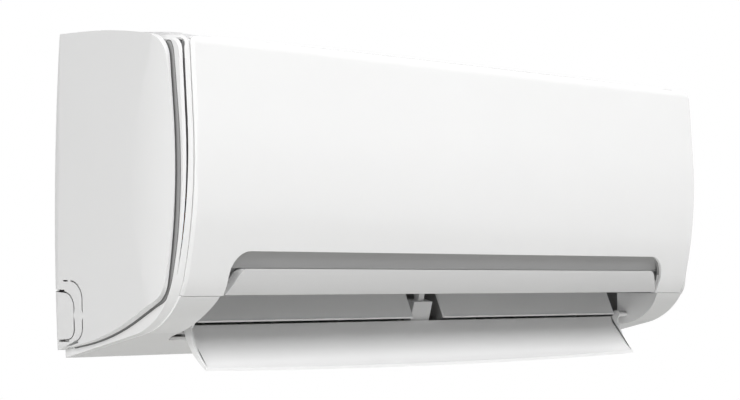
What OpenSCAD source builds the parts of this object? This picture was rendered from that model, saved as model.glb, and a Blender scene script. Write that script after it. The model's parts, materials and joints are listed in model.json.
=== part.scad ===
// Wall-mounted indoor unit of a mini split air conditioner.
// X runs along the unit, the wall is the plane y = 0 and the front looks to -Y, +Z is up.
// The origin lies on the wall, at the middle of the wall plate's four screws.

/* [Casing] */
// Overall width across the side covers
case_w = 802; // [790:1:820]
// Height from the bottom edge to the top
case_h = 297; // [294:1:303]
// Depth from the wall to the foremost point of the front
case_d = 189; // [187:1:194]
// Wall thickness of the moulded casing
wall = 2.5; // [2:0.1:3]
// Running gap between neighbouring covers
cover_gap = 0.6; // [0.4:0.1:1]
// Depth of the front casing, from the foremost point back
casing_deep = 165; // [160:1:168]
// Height of the parting line between panel and lower casing
parting_z = 57; // [54:0.5:60]

/* [Front panel] */
// Thickness of the front panel
panel_t = 2.6; // [2:0.1:3]
// Half width of the notch in the panel's lower edge
notch_half = 330; // [320:1:332]
// Height of the notch's upper edge
notch_z = 96.6; // [94:0.2:98]
// Radius of the notch's upper corners
notch_r = 23; // [15:1:25]
// Rise of the panel's top edge from its ends to the middle
panel_crown = 4; // [0:0.5:5]

/* [Side covers] */
// Half width of the casing over its end flanges
flange_x = 388.5; // [386:0.5:392]
// Width of the groove between side cover and casing
groove_w = 2.4; // [2:0.1:4]
// Depth of that groove, back from the cover's edge
groove_deep = 8; // [5:0.5:10]
// Width of the sloping end flange of the casing outside the panel
flange_w = 7.5; // [5:0.5:8]
// How far the flange lies behind the front at its inner edge
flange_near = 3; // [2:0.5:4]
// How far the flange lies behind the front at the groove
flange_far = 8.5; // [6:0.5:9]
// Wall thickness of the side covers
cover_t = 2.4; // [2:0.1:3]
// Width of the dashed slots of the pipe knock-out
knock_slot = 1.4; // [1:0.1:2]
// Length of the bridges between the dashed slots
knock_bridge = 9; // [6:1:12]

/* [Display bar] */
// Height of the bar across the front
bar_h = 24; // [20:0.5:24]
// Depth of the bar, back from the skin
bar_deep = 11; // [9:0.5:12]

/* [Flap] */
// Half length of the main flap
flap_half = 325; // [315:1:326]
// Thickness of the main flap
flap_t = 2.4; // [2:0.1:3]
// Angle by which the flap stands open
flap_open = 84; // [60:1:85]
// Extra height of the flap's front edge at the middle
flap_bow = 6.5; // [0:0.5:7]
// Radius of the flap's pivot pins
flap_pin_r = 2.5; // [2:0.1:3]

/* [Inner louver] */
// Thickness of the louver plates
louver_t = 2.2; // [1.8:0.1:2.6]
// Height of a louver plate, from its axis to its lower edge
louver_h = 28.6; // [26:0.2:29]
// Lean of the louver plates from upright
louver_lean = 23.7; // [22:0.1:26]
// Radius of the louver shaft
louver_shaft_r = 1.8; // [1.5:0.1:2]
// Half width of the gap between the two louver plates
louver_gap = 24; // [20:1:28]
// Outer end of the louver plates, from the middle
louver_end = 316; // [306:1:317]

/* [Vanes] */
// Place of the first vane, from the middle
vane_first = 31; // [30:1:34]
// Distance from one vane to the next
vane_pitch = 89; // [60:1:90]
// Thickness of a vane
vane_t = 1.6; // [1.2:0.1:2]
// Radius of a vane's pivot pin
vane_pin_r = 2; // [1.6:0.1:2.2]
// Distance between a vane's pivot and its crank pin
vane_crank = 11; // [10:0.5:12]

/* [Fan] */
// Outer radius of the cross-flow fan
fan_r = 46; // [42:0.5:47]
// Left end of the fan rotor, from the middle
fan_left = 318; // [300:1:320]
// Right end of the fan rotor, from the middle
fan_right = 306; // [290:1:308]
// Number of blades
blades = 32; // [24:1:35]
// Thickness of a blade
blade_t = 1.2; // [1:0.1:1.6]
// Compartments along the rotor
fan_cells = 6; // [4:1:8]
// Radius of the motor
motor_r = 40; // [34:1:42]
// Length of the motor
motor_len = 52; // [40:1:54]
// Radius of the fan shaft
shaft_r = 4; // [3:0.5:5]

/* [Coil] */
// Depth of a fin row pack
coil_t = 25; // [20:0.5:26]
// Left end of the fin packs, from the middle
coil_left = 345; // [335:1:346]
// Right end of the fin packs, from the middle
coil_right = 322; // [310:1:323]
// Distance between the slots that part the fins
fin_pitch = 7; // [5:0.5:12]
// Radius of the copper tubes
tube_r = 3.5; // [3:0.1:4]

/* [Filters] */
// Thickness of a filter frame
filter_t = 2.4; // [2:0.1:2.6]
// Width of a filter
filter_w = 356; // [320:1:358]
// Bars across a filter
filter_bars = 9; // [5:1:12]

/* [Wall plate] */
// Thickness of the steel wall plate
plate_t = 1; // [0.8:0.1:1.5]
// Width of the wall plate
plate_w = 600; // [560:1:640]
// Height of the wall plate
plate_h = 190; // [170:1:200]
// Height of the screw pattern's middle above the casing's bottom edge
plate_mid_z = 150; // [145:1:155]
// Distance of the wall screws along X
screw_dx = 450; // [400:5:500]
// Distance of the wall screws along Z
screw_dz = 120; // [100:5:130]
// Radius of the wall screw holes
screw_r = 3; // [2.5:0.1:3.5]

/* [Hidden] */

// Overrun of every cut past the face it goes through
cut = 2;
// Largest distance between a drawn arc and its chords
arc_fit = 0.05;
// Smallest clearance between faces that don't slide on each other
seat_gap = 0.3;
// Radial clearance of shafts and pins in their holes
run_gap = 0.06;

function unit(v) = v / norm(v);
function left_of(v) = [-v[1], v[0]];
function reversed(p) = [for (i = [len(p) - 1 : -1 : 0]) p[i]];

// Points of the arc that rounds the corner p1 between p0 and p2
function corner(p0, p1, p2, r) =
  let (a = unit(p0 - p1), b = unit(p2 - p1), half = acos(a * b) / 2,
       c = p1 + unit(a + b) * r / sin(half), s = p1 + a * r / tan(half), e = p1 + b * r / tan(half),
       a0 = atan2(s[1] - c[1], s[0] - c[0]), a1 = atan2(e[1] - c[1], e[0] - c[0]),
       turn = a1 - a0 > 180 ? a1 - a0 - 360 : a1 - a0 < -180 ? a1 - a0 + 360 : a1 - a0,
       n = max(2, ceil(abs(turn) / (2 * acos(1 - min(arc_fit / r, 0.2))))))
  [for (k = [0:n]) c + r * [cos(a0 + turn * k / n), sin(a0 + turn * k / n)]];

function flat(v) = [v[0], v[1]];

// Open path through v, each row [a, b, radius]; its ends stay sharp
function rounded_path(v) =
  [for (i = [0 : len(v) - 1]) each
    i == 0 || i == len(v) - 1 || v[i][2] == 0 ? [flat(v[i])]
    : corner(flat(v[i - 1]), flat(v[i]), flat(v[i + 1]), v[i][2])];

// Closed outline through v, each row [a, b, radius]
function rounded_outline(v) =
  let (n = len(v))
  [for (i = [0 : n - 1]) each
    v[i][2] == 0 ? [flat(v[i])]
    : corner(flat(v[(i + n - 1) % n]), flat(v[i]), flat(v[(i + 1) % n]), v[i][2])];

// A path moved to its left by d, or by a depth that runs from d to e along it
function moved(p, d, e = undef) =
  let (n = len(p), last = is_undef(e) ? d : e)
  [for (i = [0 : n - 1])
    let (a = left_of(unit(p[max(i, 1)] - p[max(i, 1) - 1])),
         b = left_of(unit(p[min(i, n - 2) + 1] - p[min(i, n - 2)])),
         k = d + (last - d) * i / (n - 1))
    p[i] + k * (a + b) / (1 + a * b)];

// A closed outline moved inwards by d
function inset(p, d) =
  let (n = len(p))
  [for (i = [0 : n - 1])
    let (a = left_of(unit(p[i] - p[(i + n - 1) % n])), b = left_of(unit(p[(i + 1) % n] - p[i])))
    p[i] + d * (a + b) / (1 + a * b)];

function crossing(a, b, z) = a + (b - a) * (z - a[1]) / (b[1] - a[1]);

// The stretch of a falling path between the heights top and low
function between(p, top, low) =
  [for (i = [0 : len(p) - 2]) each
    let (a = p[i], b = p[i + 1])
    concat(a[1] <= top && a[1] >= low ? [a] : [],
           a[1] > top && b[1] < top ? [crossing(a, b, top)] : [],
           a[1] > low && b[1] < low ? [crossing(a, b, low)] : [])];

function strip(p, d, e = undef) = concat(p, reversed(moved(p, d, e)));

// Places in the side view: x share of the depth behind the foremost point, y share of the height
function at(v) = [(v[0] - 1) * case_d, v[1] * case_h];

// An outline drawn back towards the wall by k at its foremost point, and down at its top
flange_fall_share = 0.8;
function drawn_in(p, k) =
  [for (v = p) [v[0] * (1 - k / case_d), v[1] * (1 - flange_fall_share * k / case_h)]];

function outline(shares) = [for (v = shares) [at(v)[0], at(v)[1], v[2] * case_h]];
function sharp(shares) = [for (v = shares) at(v)];

// Side view of the front skin, from the panel's upper lip round to the bottom rear
skin_shares = [[0.106, 0.965, 0], [0.033, 0.963, 0.04], [-0.022, 0.477, 1.46], [0.115, 0.112, 0.2375],
  [0.878, 0, 0.067], [0.984, 0, 0]];
skin = rounded_path(outline(skin_shares));
deck_shares = [[0.984, 1], [0.78, 0.997]];
body_outline = concat(skin, sharp(deck_shares));

// Side view of a side cover
cover_shares = [[0.968, 0.991, 0], [0.4706, 0.9884, 1.94], [0.1279, 0.9525, 0.0844], [0.0542, 0.4892, 1.78],
  [0.137, 0.1901, 0.0812], [0.511, 0.0657, 0.81], [0.878, 0.0256, 0.03], [0.968, 0.0256, 0]];
cover_outline = rounded_outline(outline(cover_shares));

case_half = case_w / 2;
panel_half = flange_x - flange_w - cover_gap;
lift = -plate_mid_z;

// Solid with the side view p, from x0 to x1
module prism(p, x0, x1) translate([x0, 0, 0]) rotate([90, 0, 90]) linear_extrude(x1 - x0) polygon(p);

// Like prism, drawn in from k0 at x0 to k1 at x1
module drawn_prism(p, x0, x1, k0, k1) translate([x0, 0, 0]) rotate([90, 0, 90])
  linear_extrude(x1 - x0, scale = [(case_d - k1) / (case_d - k0),
    (case_h - flange_fall_share * k1) / (case_h - flange_fall_share * k0)]) polygon(drawn_in(p, k0));

// Solid with the front view p, from y0 to y1
module front_prism(p, y0, y1)
  translate([0, y1, 0]) rotate([90, 0, 0]) linear_extrude(y1 - y0) polygon(p);

// Solid with the plan view p, from z0 to z1
module plan_prism(p, z0, z1) translate([0, 0, z0]) linear_extrude(z1 - z0) polygon(p);

module block(low, high) translate(low) cube(high - low);

// Rod along X round the side-view place p
module rod(p, r, x0, x1) translate([x0, p[0], p[1]]) rotate([0, 90, 0]) cylinder(r = r, h = x1 - x0);

module both_ends() {
  children();
  mirror([1, 0, 0]) children();
}

module raised() translate([0, 0, lift]) children();

// Turned by a degrees about the X axis through the side-view place p
module turned(p, a) translate([0, p[0], p[1]]) rotate([a, 0, 0]) translate([0, -p[0], -p[1]]) children();

// Wall plate

plate_hook_x = plate_w / 3;
plate_window = 76;
hook_drop = 2;
hook_w = 24;
hook_neck = 3;
hook_lip = 1.7;
hook_rise = 10;
hook_z = plate_mid_z + plate_h / 2 - hook_drop;
back_gap = 6;
back_t = 3;

module mounting_plate() color("silver") raised() {
  difference() {
    block([-plate_w / 2, -plate_t, plate_mid_z - plate_h / 2], [plate_w / 2, 0, plate_mid_z + plate_h / 2]);
    for (sx = [-1, 1], sz = [-1, 1])
      translate([sx * screw_dx / 2, cut, plate_mid_z + sz * screw_dz / 2])
        rotate([90, 0, 0]) cylinder(r = screw_r, h = plate_t + 2 * cut);
    for (sx = [-1, 1])
      block([sx * screw_dx / 4 - plate_window / 2, -plate_t - cut, plate_mid_z - plate_window / 2],
            [sx * screw_dx / 4 + plate_window / 2, cut, plate_mid_z + plate_window / 2]);
  }
  for (k = [-1, 0, 1]) translate([k * plate_hook_x, 0, hook_z]) {
    block([-hook_w / 2, -back_gap - back_t - hook_lip - seat_gap, -hook_neck], [hook_w / 2, 0, 0]);
    block([-hook_w / 2, -back_gap - back_t - hook_lip - seat_gap, -hook_neck],
          [hook_w / 2, -back_gap - back_t - seat_gap, hook_rise]);
  }
}

// Fan, coil and louver axes in the side view
fan_axis = at([0.571, 0.397]);
flap_axis = at([0.362, 0.109]);
louver_axis = at([0.418, 0.202]);

// Rear chassis with the scroll wall behind the fan

duct_half = 346;
chassis_half = 380;
chassis_top_share = 0.99;
chassis_low_share = 0.03;
ledge_front = at([0.878, 0])[0];
end_plate_front = at([0.531, 0])[0];
end_plate_low_share = 0.0725;
end_plate_top_share = 0.9;
tray_floor_share = 0.65;
tray_front = at([0.84, 0])[0];
boss_low_share = 0.055;
boss_len_share = 0.045;
fan_wall_gap = 5;
floor_front_shares = [[0.55, 0.083], [0.503, 0.081], [0.413, 0.0885]];
tray_shares = [[0.746, 0.686], [0.746, 0.657], [0.847, 0.65], [0.836, 0.556]];
scroll_from = 38;
scroll_to = -80;
scroll_steps = 26;
scroll_gap = 4;
scroll_start = fan_r + scroll_gap;
scroll_growth_share = 1.84;
skin_low_share = 0.055;
lip_h = 5;
function scroll_at(k) =
  let (a = scroll_from + (scroll_to - scroll_from) * k, r = scroll_start * pow(scroll_growth_share, k))
  fan_axis + r * [cos(a), sin(a)];
scroll = concat(sharp(tray_shares), [for (i = [0 : scroll_steps]) scroll_at(i / scroll_steps)],
                sharp(floor_front_shares));
skin_low_z = case_h * skin_low_share;
end_wall_top_shares = [[0.677, 0.08], [0.85, 0.2], [0.8, 0.235], [0.5, 0.235], [0.349, 0.2887],
  [0.1665, 0.2207], [0.1665, 0.168]];
end_wall = concat(moved(between(skin, parting_z - lip_h - cover_gap, skin_low_z), wall + cover_gap),
                  sharp(end_wall_top_shares));
fan_wall_shares = [[0.62, 0.095], [0.86, 0.25], [0.88, 0.42], [0.80, 0.5], [0.50, 0.56], [0.33, 0.42],
  [0.372, 0.295], [0.42, 0.25]];
bearing_r = 11;
bearing_len = 8;
holder_r = 17;
rib_shares = [[0.845, 0.25], [0.90, 0.30], [0.90, 0.44], [0.83, 0.55], [0.849, 0.64], [0.955, 0.64],
  [0.955, 0.25]];
ribs_x_shares = [-0.9, -0.6, -0.3, 0, 0.3, 0.6, 0.9];
carrier_end = 12;
carrier_low = at([0.505, 0.066]);
carrier_high = at([0.558, 0.0815]);
screw_x_shares = [-0.6, 0, 0.6];
strip_screw = at([0.645, 0.0]);
strip_screw_r = 1.7;
strip_boss_r = 4.5;
back_y = -back_gap;

module chassis_boss() {
  for (k = screw_x_shares) translate([k * duct_half, strip_screw[0], case_h * boss_low_share]) children();
}

module rear_chassis() color("gainsboro") raised() difference() {
  union() {
    block([-chassis_half, back_y - back_t, case_h * chassis_low_share],
          [chassis_half, back_y, case_h * chassis_top_share]);
    block([-chassis_half, ledge_front, case_h * chassis_top_share - wall],
          [chassis_half, back_y, case_h * chassis_top_share]);
    prism(strip(scroll, wall), -duct_half - wall, duct_half + wall);
    block([-duct_half, tray_front, case_h * tray_floor_share],
          [duct_half, back_y - cut, case_h * tray_floor_share + wall]);
    both_ends() prism(end_wall, duct_half, duct_half + wall);
    prism(sharp(fan_wall_shares), -fan_left - fan_wall_gap - wall, -fan_left - fan_wall_gap);
    prism(sharp(fan_wall_shares), fan_right + fan_wall_gap, fan_right + fan_wall_gap + wall);
    rod(fan_axis, holder_r + wall, -fan_left - fan_wall_gap - bearing_len - wall, -fan_left - fan_wall_gap);
    for (k = ribs_x_shares) prism(sharp(rib_shares), k * duct_half - wall / 2, k * duct_half + wall / 2);
    both_ends() block([chassis_half - wall, end_plate_front, case_h * end_plate_low_share],
                      [chassis_half, back_y - cut, case_h * end_plate_top_share]);
    chassis_boss() cylinder(r = strip_boss_r, h = case_h * boss_len_share);
  }
  rod(fan_axis, holder_r + run_gap, -fan_left - 2 * bearing_len - wall, -fan_left - fan_wall_gap - wall);
  rod(fan_axis, bearing_r, -fan_left - bearing_len, -fan_left - cut);
  rod(fan_axis, holder_r, fan_right + cut, fan_right + fan_wall_gap + wall + cut);
  both_ends() {
    rod(flap_axis, flap_pin_r + run_gap, duct_half - cut, duct_half + wall + cut);
    rod(louver_axis, louver_shaft_r + run_gap, duct_half - cut, duct_half + wall + cut);
    block([vane_first - carrier_end - seat_gap, carrier_low[0] - seat_gap, carrier_low[1] - cut],
          [vane_first + 3 * vane_pitch + carrier_end + seat_gap, carrier_high[0] + seat_gap,
           carrier_high[1] + 2 * cut]);
  }
  for (k = [-1, 0, 1])
    block([k * plate_hook_x - hook_w / 2 - seat_gap, back_y - back_t - cut, hook_z - hook_rise],
          [k * plate_hook_x + hook_w / 2 + seat_gap, back_y + cut, hook_z + seat_gap]);
  chassis_boss() translate([0, 0, -cut])
    cylinder(r = strip_screw_r + run_gap, h = case_h * boss_len_share + cut / 2);
}

// Front casing

window_half = 368.5;
window_low_share = 0.35;
window_top_share = 0.93;
mullion_half = 6;
filter_slot = [at([0.132, 0])[0], at([0.193, 0])[0]];
strip_front = at([0.497, 0])[0];
outlet_front = at([0.06, 0])[0];
outlet_half = 327;
outlet_swell = 16;
cheek_back = at([0.409, 0])[0];
cheek_low_share = 0.0645;
hinge_lug_r = 3.3;
notch_back = at([0.165, 0])[0];
lip_slot_back = at([0.165, 0])[0];
brow_shares = [[0.057, 0.3295], [0.1, 0.2745], [0.114, 0.2745], [0.114, 0.34], [0.057, 0.34]];
grille_front = at([0.215, 0])[0];
grille_back = at([0.79, 0])[0];
door_front = at([0.09, 0])[0];
panel_seat = panel_t + cover_gap;
full_skin_top = case_h + cut;

// Plan of the air outlet: straight front and back, ends swelling outwards
function swell_arc(half, a, b, swell) =
  let (c = b - a, r = (c * c / 4 + swell * swell) / (2 * swell), h = 2 * atan2(2 * swell, c))
  [for (k = [-8:8]) [half + swell - r + r * cos(h * k / 8), (a + b) / 2 + r * sin(h * k / 8)]];
function outlet_plan(d) =
  concat([[0, -case_d - cut], [outlet_half + d, -case_d - cut]],
         swell_arc(outlet_half + d, outlet_front, strip_front + d, outlet_swell), [[0, strip_front + d]]);

// What the casing's cavity leaves standing round the air outlet: a low rear wall and two cheeks
module outlet_wall() both_ends() {
  plan_prism(outlet_plan(wall), -cut, case_h * cheek_low_share);
  intersection() {
    plan_prism(outlet_plan(wall), -cut, parting_z - cover_gap);
    block([outlet_half, -case_d - cut, -cut], [case_half, cheek_back, case_h]);
  }
}

notch_front = rounded_outline([[-notch_half, parting_z - cut, 0], [notch_half, parting_z - cut, 0],
  [notch_half, notch_z, notch_r], [-notch_half, notch_z, notch_r]]);

module flange_edge() both_ends() {
  slope = (flange_far - flange_near) / flange_w;
  drawn_prism(body_outline, flange_x - flange_w - cut, flange_x, flange_near - cut * slope, flange_far);
}

module front_casing() color("white") raised() {
  difference() {
    union() {
      prism(body_outline, -flange_x + flange_w, flange_x - flange_w);
      flange_edge();
    }
    block([-case_half, casing_deep - case_d, -cut], [case_half, cut, case_h + cut]);
    difference() {
      union() {
        intersection() {
          prism(inset(body_outline, wall), -flange_x + wall + flange_w, flange_x - flange_w - wall);
          block([-case_half, -case_d, 0], [case_half, 0, parting_z - lip_h]);
        }
        prism(inset(body_outline, panel_seat + wall), -flange_x + wall, flange_x - wall);
      }
      outlet_wall();
    }
    prism(strip(moved(between(skin, full_skin_top, parting_z - cover_gap), -cut), cut + panel_seat),
          -panel_half - cover_gap, panel_half + cover_gap);
    front_prism(notch_front, -case_d - cut, notch_back);
    both_ends() plan_prism(outlet_plan(0), -cut, parting_z);
    both_ends() rod(flap_axis, flap_pin_r + seat_gap, outlet_half - cut, duct_half);
    both_ends()
      block([mullion_half, -case_d - cut, case_h * window_low_share],
            [window_half, filter_slot[0], case_h * window_top_share]);
    both_ends()
      block([mullion_half, door_front, case_h * window_top_share - cut],
            [window_half, filter_slot[1], case_h + cut]);
    block([-window_half, grille_front, case_h * window_top_share], [window_half, grille_back, case_h + cut]);
    block([-panel_half - cover_gap, -case_d - cut, skin[0][1] - lip_fill - cover_gap],
          [panel_half + cover_gap, lip_slot_back, case_h + cut]);
    both_ends() block([hinge_x - cover_gap, -case_d - cut, case_h * end_plate_top_share],
                      [hinge_x + wall + cover_gap, lip_slot_back, case_h + cut]);
    screw_holes();
    translate([button_x, -case_d - cut, button_z]) rotate([-90, 0, 0])
      cylinder(r = button_r + seat_gap, h = filter_slot[0] + case_d);
  }
  prism(sharp(brow_shares), -notch_half - wall, notch_half + wall);
  screw_pads();
  for (sx = [-1, 1]) for (x = [mullion_half, filter_x1 + wall + 2 * seat_gap])
    filter_rail(sx * x, sx * (x == mullion_half ? 1 : -1));
  both_ends() {
    rail_web(filter_x1 + 3 * seat_gap, filter_x1 + 2 * wall);
    hinge_lug();
  }
}

module hinge_lug() difference() {
  union() {
    rod(hinge_at, hinge_lug_r, hinge_x + wall + 2 * cover_gap, panel_half - cover_gap);
    intersection() {
      prism(inset(body_outline, panel_seat + seat_gap), hinge_x + wall + 2 * cover_gap,
            panel_half - cover_gap);
      block([0, -case_d, hinge_at[1] - 4 * hinge_lug_r],
            [case_half, hinge_at[0] + hinge_lug_r, hinge_at[1]]);
    }
  }
  rod(hinge_at, hinge_pin_r + run_gap, hinge_x, panel_half);
}

module screw_holes()
  for (k = screw_x_shares) translate([k * duct_half, strip_screw[0], -cut])
    cylinder(r = cap_r + run_gap, h = case_h * boss_low_share);

// Cups in the casing's bottom strip that take the screws and their caps
module screw_pads()
  for (k = screw_x_shares) translate([k * duct_half, strip_screw[0], cap_z - 2 * wall]) difference() {
    cylinder(r = cap_r + run_gap + cup_t, h = case_h * boss_low_share - seat_gap - cap_z + 2 * wall);
    translate([0, 0, -cut]) cylinder(r = cap_r + run_gap, h = cut + 2 * wall);
    cylinder(r = strip_screw_r + seat_gap, h = case_h * boss_low_share);
  }

// Filters slide in two rails a side, in a plane that leans back

filter_low = at([0.0935, 0.345]);
filter_top = at([0.1715, 0.96]);
filter_lean = atan2(filter_top[0] - filter_low[0], filter_top[1] - filter_low[1]);
filter_len = norm(filter_top - filter_low);
filter_x0 = mullion_half + wall;
filter_x1 = filter_x0 + filter_w;
filter_border = 9;
filter_rib = 2.2;
filter_rows = 4;
rail_t = 1.5;
rail_lip = 4;
rail_len_share = 0.9;
mesh_shares = [0.3, 0.5];
tab_shares = [0.38, 0.62];

// The filter's own frame: x along the unit, y through its thickness, z along its slide
module filter_plane() translate([0, filter_low[0], filter_low[1]]) rotate([-filter_lean, 0, 0]) children();

module filter_rail(x, way) filter_plane() {
  for (y = [-rail_t - seat_gap, filter_t + seat_gap])
    block([min(x, x + way * (rail_lip + wall)), y, -wall],
          [max(x, x + way * (rail_lip + wall)), y + rail_t, filter_len * rail_len_share]);
  block([min(x, x + way * (wall - seat_gap)), -rail_t - seat_gap, -wall],
        [max(x, x + way * (wall - seat_gap)), filter_t + seat_gap + rail_t, filter_len * rail_len_share]);
}

// Web that ties the outer rail to the frame behind the panel
module rail_web(x0, x1) intersection() {
  prism(inset(body_outline, panel_seat + seat_gap), x0, x1);
  filter_plane() block([x0, -case_d, -wall], [x1, filter_t + seat_gap, filter_len * rail_len_share]);
}

module filter() filter_plane() {
  difference() {
    block([filter_x0, 0, 0], [filter_x1, filter_t, filter_len]);
    for (i = [0 : filter_bars - 1], j = [0 : filter_rows - 1]) {
      cx = (filter_w - 2 * filter_border + filter_rib) / filter_bars;
      cz = (filter_len - 2 * filter_border + filter_rib) / filter_rows;
      x = filter_x0 + filter_border + i * cx;
      z = filter_border + j * cz;
      block([x, -cut, z], [x + cx - filter_rib, filter_t * mesh_shares[0], z + cz - filter_rib]);
      block([x, filter_t * mesh_shares[1], z], [x + cx - filter_rib, filter_t + cut, z + cz - filter_rib]);
    }
  }
  block([filter_x0 + filter_w * tab_shares[0], -filter_border / 2, filter_len - wall],
        [filter_x0 + filter_w * tab_shares[1], cut / 2, filter_len]);
}
module filter_left() color("whitesmoke") raised() mirror([1, 0, 0]) filter();
module filter_right() color("whitesmoke") raised() filter();

// Intake grille in the deck

deck_a = skin[0];
deck_b = at(deck_shares[1]);
function deck_at(y) = crossing([deck_a[1], deck_a[0]], [deck_b[1], deck_b[0]], y)[0];
grille_slats = 14;
grille_ribs = 10;
slat_t = 1.6;
slat_h = 9;

module intake_grille() color("white") raised() {
  a = grille_front + seat_gap;
  b = grille_back - seat_gap;
  gx = window_half - seat_gap;
  for (x = [for (i = [0 : grille_ribs]) -gx + (2 * gx - wall) * i / grille_ribs])
    prism([[a, deck_at(a) - slat_h], [b, deck_at(b) - slat_h], [b, deck_at(b)], [a, deck_at(a)]],
          x, x + wall);
  for (i = [0 : grille_slats]) {
    y = a + (b - a - slat_t) * i / grille_slats;
    prism([[y, deck_at(y) - slat_h], [y + slat_t, deck_at(y) - slat_h], [y + slat_t, deck_at(y)],
           [y, deck_at(y)]], -gx, gx);
  }
}

// Side covers: a domed cap with a recessed rim that forms the groove

dome_r = 4200;
dome_step = 0.22;
dome_mid_share = 0.54;
dome_mid = case_h * dome_mid_share;
bow_r = 1900;
bow_reach = 7;
bow_facets = 720;
bow_mid = case_h / 2;
cover_rear = at([0.968, 0])[0];
cover_front = [389.2, at([0.038, 0])[0]];
cover_shoulder = at([0.232, 0])[0];
cover_shoulder_r = 150;
cover_turn = 26;
wrap_x = chassis_half + cover_gap;
wrap_front = casing_deep - case_d + cover_gap;
knock_shares = [[0.82, 0.239, 0], [0.677, 0.239, 0.06], [0.677, 0.062, 0.045], [0.715, 0.055, 0]];
knock_in_shares = [[0.81, 0.205, 0], [0.738, 0.205, 0.05], [0.738, 0.056, 0.035], [0.78, 0.056, 0]];
// Bridges of the knock-out: place in the side view and radius as a share of the bridge length
knock_bridges_shares = [[0.775, 0.239, 0.25], [0.71, 0.132, 0.72]];

module knock_slots(shares) difference() {
  prism(strip(rounded_path(outline(shares)), knock_slot), flange_x, case_half + cut);
  for (b = knock_bridges_shares)
    translate([flange_x - cut, at(b)[0], at(b)[1]]) rotate([0, 90, 0])
      cylinder(r = knock_bridge * b[2], h = case_half + 2 * cut - flange_x);
}

// The covers' plan, drawn in by d, swept up along a large circle so that front and rear edges bow
module cover_sweep(d) {
  y0 = bow_r - cover_rear;
  plan = rounded_outline([[wrap_x - 2 * cover_turn, cover_front[1], 0],
    [cover_front[0] - d, cover_front[1], 0], [case_half - d, cover_shoulder, cover_shoulder_r],
    [case_half - d, cover_rear - d, cover_turn - d],
    [wrap_x - 2 * cover_turn, cover_rear - d, 0]]);
  translate([0, -y0, bow_mid]) rotate([90, 0, 90]) rotate([0, 0, -bow_reach])
    rotate_extrude(angle = 2 * bow_reach, $fn = bow_facets) polygon([for (v = plan) [v[1] + y0, v[0]]]);
}

module side_cover() {
  dome = [for (k = [-10:10])
    [case_half - dome_r + dome_r * cos(k * dome_step), dome_mid + dome_r * sin(k * dome_step)]];
  difference() {
    intersection() {
      union() {
        prism(cover_outline, flange_x + groove_w, case_half);
        prism(inset(cover_outline, groove_deep), flange_x + seat_gap, flange_x + groove_w + cut / 2);
        intersection() {
          prism(cover_outline, wrap_x, case_half);
          block([0, wrap_front, 0], [case_half, cover_rear + cut, case_h]);
        }
      }
      front_prism(concat(dome, [[0, 2 * case_h], [0, -case_h]]), -case_d, 0);
      cover_sweep(0);
    }
    intersection() {
      prism(inset(cover_outline, groove_deep + wall), flange_x - cut, case_half);
      cover_sweep(cover_t);
    }
    intersection() {
      prism(inset(cover_outline, wall), wrap_x - cut, case_half);
      block([0, wrap_front - cut, 0], [case_half, 0, case_h]);
      cover_sweep(cover_t);
    }
    knock_slots(knock_shares);
    knock_slots(knock_in_shares);
  }
}
module right_side_cover() color("whitesmoke") raised() side_cover();
module left_side_cover() color("whitesmoke") raised() mirror([1, 0, 0]) side_cover();

// Display bar and its board

bar_top_half = 313.5;
bar_low_half = 327.6;
bar_r = 10;
bar_rim = 3.4;
board_x = 150;
board_w = 80;
board_t = 1.6;

module bar_strip(top, low, d, e, half) {
  p = between(skin, top, low);
  prism(concat(moved(p, d), reversed(moved(p, e))), -half, half);
}

module display_bar() color("gainsboro") raised() {
  top = parting_z + bar_h;
  front = rounded_outline([[-bar_low_half, parting_z + cover_gap, 0],
    [bar_low_half, parting_z + cover_gap, 0], [bar_top_half, top, bar_r], [-bar_top_half, top, bar_r]]);
  intersection() {
    difference() {
      bar_strip(top + bar_h, parting_z - bar_h, 0, bar_deep, notch_half);
      bar_strip(top - bar_rim, parting_z + bar_rim, wall, bar_deep + cut, bar_top_half - bar_r);
    }
    front_prism(front, -case_d - cut, -cut);
  }
}

module display_board() color("seagreen") raised() {
  p = between(skin, parting_z + bar_h - 2 * wall, parting_z + 2 * wall);
  prism(concat(moved(p, wall + seat_gap), reversed(moved(p, wall + seat_gap + board_t))),
        board_x, board_x + board_w);
}

// Drain pan under the front coil, with the upper wall of the outlet duct

pan_shares = [[0.1665, 0.222], [0.349, 0.29], [0.36, 0.303], [0.328, 0.333], [0.307, 0.333], [0.302, 0.31],
  [0.148, 0.303], [0.132, 0.308], [0.132, 0.345], [0.119, 0.345], [0.119, 0.285], [0.153, 0.235]];
spigot_r = 8;
spigot_bore = 6.5;
spigot_len = 14;
spigot_at = at([0.2, 0.29]);
plug_len = 7;

module drain_pan() color("whitesmoke") raised() difference() {
  union() {
    prism(sharp(pan_shares), -duct_half - wall, duct_half + wall);
    rod(spigot_at, spigot_r, -duct_half - wall - spigot_len, -duct_half - wall);
    rod(spigot_at, spigot_r, duct_half + wall, duct_half + wall + spigot_len);
  }
  rod(spigot_at, spigot_bore, -duct_half - spigot_len - 2 * wall, -duct_half);
  rod(spigot_at, spigot_bore, duct_half, duct_half + spigot_len + 2 * wall);
}

module drain_plug() color("dimgray") raised() {
  rod(spigot_at, spigot_bore - run_gap, duct_half + wall + spigot_len - plug_len,
      duct_half + 2 * wall + spigot_len);
  rod(spigot_at, spigot_r, duct_half + wall + spigot_len + run_gap, duct_half + 2 * wall + spigot_len);
}

// Coil: three finned packs set like a tent over the fan

coil_foot = [at([0.162, 0.3395]), at([0.162, 0.6365]), at([0.787, 0.678])];
coil_lean = 40;
coil_tilt = [0, -coil_lean, coil_lean];
coil_len = [71, 94, 60];
coil_tubes_in = [4, 4, 2];
row_shares = [0.26, 0.74];
fin_slot_share = 0.45;
fin_slot_deep_share = 0.2;
end_plate_t = 1.2;
end_plate_rim = 2.2;
header_len = 6;

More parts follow.
